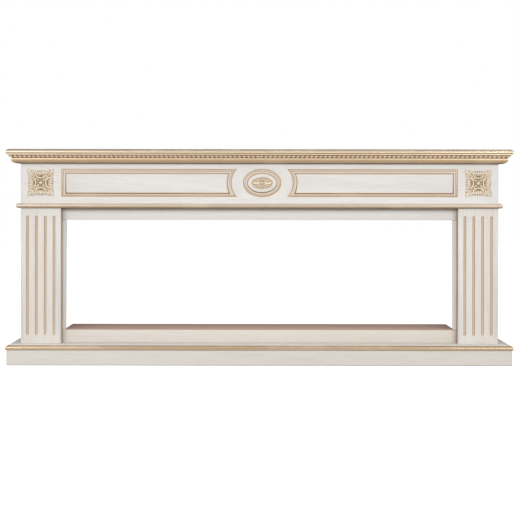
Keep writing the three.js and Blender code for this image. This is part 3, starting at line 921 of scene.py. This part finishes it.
# Crown and other sections
def cornice_outline():
    rebate = Vector((-ROPE_UP.y, ROPE_UP.x)) * (ROPE_DEPTH + GLUE_GAP)
    ovolo_start = (LOWER_FILLET_OUT - OVOLO_REACH, CROWN_LOW)
    return [
        (BACK_OUT, CROWN_LOW),
        ovolo_start,
        *curve(
            ovolo_start,
            (LOWER_FILLET_OUT - OVOLO_REACH * 0.35, CROWN_LOW),
            (LOWER_FILLET_OUT, LOWER_FILLET_LOW - OVOLO * 0.45),
            (LOWER_FILLET_OUT - 0.8 * MM, LOWER_FILLET_LOW),
            14,
        ),
        (LOWER_FILLET_OUT, LOWER_FILLET_LOW + 0.9 * MM),
        (LOWER_FILLET_OUT, ROPE_BOTTOM.y - 0.6 * MM),
        (LOWER_FILLET_OUT - FILLET_EASE, ROPE_BOTTOM.y),
        tuple(ROPE_BOTTOM + rebate),
        tuple(ROPE_TOP + rebate),
        tuple(ROPE_TOP),
        (CROWN_FILLET_OUT - FILLET_EASE, ROPE_TOP.y),
        (CROWN_FILLET_OUT, ROPE_TOP.y + FILLET_EASE),
        (CROWN_FILLET_OUT, SHELF_LOW - GLUE_GAP),
        (BACK_OUT, SHELF_LOW - GLUE_GAP),
    ]


def astragal_outline():
    low, high = ASTRAGAL_LOW, ASTRAGAL_HIGH
    widest = high - 11 * MM
    return [
        (BACK_OUT, low),
        (4 * MM, low),
        *curve(
            (4 * MM, low), (ASTRAGAL_OUT - 2 * MM, low),
            (ASTRAGAL_OUT, widest - (widest - low) * 0.4), (ASTRAGAL_OUT, widest), 10,
        ),
        *curve(
            (ASTRAGAL_OUT, widest), (ASTRAGAL_OUT, widest + (high - widest) * 0.6),
            (ASTRAGAL_OUT - 4 * MM, high), (6 * MM, high), 12,
        ),
        (BACK_OUT, high),
    ]


def plinth_outline(ease=6 * MM, arris=1 * MM):
    turns = [math.pi / 2 * number / 8 for number in range(9)]
    return [
        (PLINTH_BACK, PLINTH_LOW),
        *((PLINTH_OUT - ease + ease * math.sin(t), ease - ease * math.cos(t)) for t in turns),
        (PLINTH_OUT, PLINTH_HIGH - arris),
        (PLINTH_OUT - arris, PLINTH_HIGH),
        (PLINTH_BACK, PLINTH_HIGH),
    ]


# Carvings
def join(bm, part):
    """Adds a part to a carving."""
    mesh = bpy.data.meshes.new("part")
    part.to_mesh(mesh)
    part.free()
    bm.from_mesh(mesh)
    bpy.data.meshes.remove(mesh)


def lobe(bm, root, tip, width, relief, root_share=0.4, groove=0.35, detail=24):
    """A carved leaf or petal from root to tip, hollowed down its middle."""
    part = bmesh.new()
    made = bmesh.ops.create_uvsphere(part, u_segments=detail, v_segments=detail // 2, radius=1)
    root, tip = Vector(root), Vector(tip)
    along = tip - root
    turn = Matrix.Rotation(math.atan2(along.y, along.x), 2)
    for vert in made["verts"]:
        length, across, rise = vert.co
        share = root_share + (1 - root_share) * (length + 1) / 2
        rise *= relief * share**0.5
        if rise > 0:
            rise *= 1 - groove * math.exp(-((across / 0.32) ** 2)) * (1 - length**2)
        flat = turn @ Vector((length * along.length / 2, across * share * width / 2))
        centre = (root + tip) / 2
        vert.co = Vector((centre.x + flat.x, -rise, centre.y + flat.y))
    join(bm, part)


def ridge(bm, points, radius, relief, fine=2):
    """A rounded rib along a line of points."""
    for point in points:
        part = bmesh.new()
        bmesh.ops.create_icosphere(part, subdivisions=fine, radius=1)
        for vert in part.verts:
            x, y, z = vert.co
            vert.co = Vector((point[0] + x * radius, y * relief, point[1] + z * radius))
        join(bm, part)


def corner_rosette(bm, s, r):
    """Round boss, straps to three-lobed corner leaves, and a fan of fingers in each arch.
    Places and widths are shares of the half size s, and heights of the relief r."""
    made = bmesh.ops.create_cube(bm, size=1)
    plate = Vector((PLATE_SHARE * 2 * s, PLATE_THICKNESS, PLATE_SHARE * 2 * s))
    for vert in made["verts"]:
        vert.co = (vert.co - Vector((0, 0.5, 0))) * plate
    ridge(bm, [(0, 0)], 0.16 * s, r, 4)
    for number in range(4):
        turn = Matrix.Rotation(number * math.pi / 2, 2)

        def at(x, y):
            return turn @ Vector((x * s, y * s))

        lobe(bm, at(0.02, 0.02), at(0.72, 0.72), 0.26 * s, 0.5 * r, 0.7, 0.4)
        lobe(bm, at(0.52, 0.52), at(1.0, 1.0), 0.36 * s, 0.95 * r, 0.5, 0.45)
        lobe(bm, at(0.48, 0.62), at(0.65, 1.02), 0.25 * s, 0.85 * r, 0.5, 0.4)
        lobe(bm, at(0.62, 0.48), at(1.02, 0.65), 0.25 * s, 0.85 * r, 0.5, 0.4)
        turns = [math.pi * (0.5 + k / 72) for k in range(73)]
        arch = [at(0.80 + 0.42 * math.cos(t), 0.42 * math.sin(t)) for t in turns]
        ridge(bm, arch, 0.08 * s, 0.8 * r)
        for k in range(-2, 3):
            tip = at(1.0 - 0.02 * abs(k), 0.19 * k)
            lobe(bm, at(0.50, 0.07 * k), tip, 0.2 * s, 0.88 * r, 0.5, 0.0)


def oval_flower(bm, a, b, r):
    """An oval flower in a rim: four long petals, lesser ones between, and a round eye.
    Places and widths are shares of the half sizes a and b, and heights of the relief r."""
    made = bmesh.ops.create_cone(
        bm, cap_ends=True, segments=64, radius1=1, radius2=0.94, depth=1
    )
    for vert in made["verts"]:
        x, y, z = vert.co
        vert.co = Vector((x * 0.97 * a, -(z + 0.5) * OVAL_PLATE_THICKNESS, y * 0.97 * b))
    turns = [2 * math.pi * k / 180 for k in range(180)]
    rim = [(0.95 * a * math.cos(t), 0.92 * b * math.sin(t)) for t in turns]
    ridge(bm, rim, 1.7 * MM, 0.5 * r)
    ridge(bm, [(0, 0)], 0.12 * a, 0.95 * r, 4)
    for x in (-1, 1):
        lobe(bm, (0.1 * a * x, 0), (0.88 * a * x, 0), 0.62 * b, 0.95 * r, 0.5, 0.2)
        lobe(bm, (0, 0.16 * b * x), (0, 0.86 * b * x), 0.20 * a, 0.85 * r, 0.35, 0.0)
        for z in (-1, 1):
            for along, up, width in ((0.74, 0.56, 0.36), (0.50, 0.76, 0.32), (0.26, 0.85, 0.30)):
                root = (0.14 * a * x * along / 0.74, 0.16 * b * z)
                lobe(bm, root, (along * a * x, up * b * z), width * b, 0.9 * r, 0.35, 0.0)


def carving(node, build, *sizes, voxel=0.7 * MM):
    """A carved piece: overlapping leaves fused to one skin, with its creases marked."""
    low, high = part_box(node)
    bm = bmesh.new()
    build(bm, *sizes)
    centre = Vector(((low.x + high.x) / 2, high.y, (low.z + high.z) / 2))
    for vert in bm.verts:
        vert.co.y = min(vert.co.y, 0)
    bmesh.ops.translate(bm, verts=bm.verts, vec=centre)
    made = piece(f"{node}_carved", bm, gilt_carving, "gold_patina", node, smooth=60)
    fuse = made.modifiers.new("fuse", "REMESH")
    fuse.mode = "VOXEL"
    fuse.voxel_size = voxel
    graph = bpy.context.evaluated_depsgraph_get()
    mesh = bpy.data.meshes.new_from_object(made.evaluated_get(graph))
    made.modifiers.clear()
    bm = bmesh.new()
    bm.from_mesh(mesh)
    for _ in range(2):
        bmesh.ops.smooth_vert(
            bm, verts=bm.verts, factor=0.5, use_axis_x=True, use_axis_y=True, use_axis_z=True
        )
    for vert in bm.verts:
        vert.co.y = min(vert.co.y, high.y)
    bm.normal_update()
    mark_creases(bm, high.y, sizes[-1], voxel)
    bm.to_mesh(mesh)
    bm.free()
    made.data = mesh
    mesh.shade_smooth()


def mark_creases(bm, back, relief, voxel):
    """Marks each point by how far its patina is rubbed off."""
    layer = bm.verts.layers.float.new("relief")
    bend = {}
    for vert in bm.verts:
        near = [edge.other_vert(vert).co for edge in vert.link_edges]
        bend[vert] = (sum(near, Vector()) / len(near) - vert.co).dot(vert.normal) / voxel
    for vert in bm.verts:
        near = [bend[edge.other_vert(vert)] for edge in vert.link_edges]
        hollow = (bend[vert] + sum(near)) / (1 + len(near))
        height = (back - vert.co.y) / relief
        vert[layer] = min(max(height * HEIGHT_WEIGHT - hollow * HOLLOW_WEIGHT, 0.0), 1.0)


# The mantelpiece
def make_camera():
    data = bpy.data.cameras.new("camera")
    data.sensor_width = 36
    data.lens = LENS
    data.shift_y = LENS_SHIFT
    camera = bpy.data.objects.new("camera", data)
    camera.location = (CAMERA_X, FRONT - CAMERA_DISTANCE, CAMERA_HEIGHT)
    camera.rotation_euler = (math.pi / 2, CAMERA_ROLL, 0)
    bpy.context.scene.collection.objects.link(camera)
    bpy.context.scene.camera = camera


def make_boards():
    plain_board("frieze_soffit", oak_soffit, "ivory_oak")
    plain_board("top_rail", oak_top_rail, "ivory_oak")
    plain_board("bottom_rail", oak_bottom_rail, "ivory_oak")
    for node in ("jamb_left", "jamb_right"):
        plain_board(node, oak_jamb, "ivory_oak")
    for node in ("side_panel_left", "side_panel_right"):
        plain_board(node, oak_side, "ivory_oak")
    for node in ("pilaster_return_left", "pilaster_return_right"):
        plain_board(node, gilt_return, "ivory_oak")
    for node in (
        "sill_board", "sill_support_left", "sill_support_right", "sill_support_rear",
        "plinth_rear", "rear_rail",
    ):
        plain_board(node, raw_board, "raw_board")
    for node in ("pilaster_left", "pilaster_right"):
        low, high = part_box(node)
        outer = math.copysign(HALF, low.x)
        x_low, x_high = sorted((outer, math.copysign(PILASTER_INNER, low.x)))
        routed(node, flute_cutters(x_low, x_high, low.z, high.z), oak_fluted)
    routed("frieze_front", ring_cutters(), oak_frieze)


def make_mouldings():
    nosed_board(
        "shelf_top",
        nose(SHELF_LOW, SHELF_HIGH - SHELF_LOW, SHELF_OUT, **SHELF_NOSE),
        oak_shelf,
    )
    nosed_board(
        "base_deck",
        nose(DECK_LOW, DECK_HIGH - DECK_LOW, DECK_OUT, **DECK_NOSE),
        oak_deck,
    )
    moulding("cornice", cornice_outline(), gilt_crown, "gold_patina")
    moulding("astragal", astragal_outline(), gilt_astragal, "gold_patina")
    moulding("plinth", plinth_outline(), oak_plinth, "ivory_oak")
    for side, stations in RUNS.items():
        rope(side, stations)


def make_carvings():
    for node in ("rosette_left", "rosette_right"):
        low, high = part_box(node)
        carving(node, corner_rosette, (high.x - low.x) / 2, high.y - low.y)
    low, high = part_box("oval_rosette")
    size = (high - low) / 2
    carving("oval_rosette", oval_flower, size.x, size.z, high.y - low.y, voxel=0.5 * MM)


def make_floor():
    """A pale floor, which the camera sees nearly white and which throws little light back."""
    bm = bmesh.new()
    bmesh.ops.create_grid(bm, x_segments=1, y_segments=1, size=FLOOR_SIZE)
    mesh = bpy.data.meshes.new("floor")
    bm.to_mesh(mesh)
    bm.free()
    look = Look("floor")
    mesh.materials.append(
        look.finish(
            base_color=(0.9, 0.9, 0.9, 1), roughness=0.9,
            emission_color=(1, 1, 1, 1), emission_strength=FLOOR_GLOW,
        )
    )
    seen = look.node("ShaderNodeLightPath", {}, {})
    dull = look.node("ShaderNodeBsdfDiffuse", {}, {0: (*[FLOOR_BOUNCE] * 3, 1)})
    pale = Value(look, look.shader.outputs[0])
    blend = look.node("ShaderNodeMixShader", {}, {0: seen, 1: dull, 2: pale})
    look.feed(look.tree.nodes["Material Output"].inputs[0], blend)
    floor = bpy.data.objects.new("floor", mesh)
    bpy.context.scene.collection.objects.link(floor)


def softbox(name, place, aim, width, height, power, glossy=True):
    data = bpy.data.lights.new(name, "AREA")
    data.shape = "RECTANGLE"
    data.size = width
    data.size_y = height
    data.energy = power
    light = bpy.data.objects.new(name, data)
    light.location = place
    light.rotation_euler = (Vector(aim) - Vector(place)).to_track_quat("-Z", "Y").to_euler()
    light.visible_glossy = glossy
    bpy.context.scene.collection.objects.link(light)


def make_studio():
    make_floor()
    for name, side in (("left", -1), ("right", 1)):
        softbox(name, (2.3 * side, -4.4, 1.9), (0.3 * side, 0, 0.4), 1.8, 1.5, SIDE_POWER)
    softbox("front", (0, -5.0, 1.6), (0, 0, 0.45), 2.4, 0.9, FRONT_POWER, glossy=False)
    softbox("above", (0, -0.4, 3.4), (0, 0, 0.4), 3.6, 1.6, TOP_POWER)
    world = bpy.data.worlds.new("studio")
    world.use_nodes = True
    nodes, links = world.node_tree.nodes, world.node_tree.links
    seen = nodes.new("ShaderNodeBackground")
    seen.inputs["Color"].default_value = (1, 1, 1, 1)
    fill = nodes["Background"]
    fill.inputs["Color"].default_value = (1.0, 0.99, 0.975, 1)
    fill.inputs["Strength"].default_value = FILL
    path = nodes.new("ShaderNodeLightPath")
    blend = nodes.new("ShaderNodeMixShader")
    links.new(path.outputs["Is Camera Ray"], blend.inputs[0])
    links.new(fill.outputs[0], blend.inputs[1])
    links.new(seen.outputs[0], blend.inputs[2])
    links.new(blend.outputs[0], nodes["World Output"].inputs[0])
    bpy.context.scene.world = world
    bpy.context.scene.view_settings.view_transform = "Standard"


make_camera()
make_boards()
make_mouldings()
make_carvings()
make_studio()
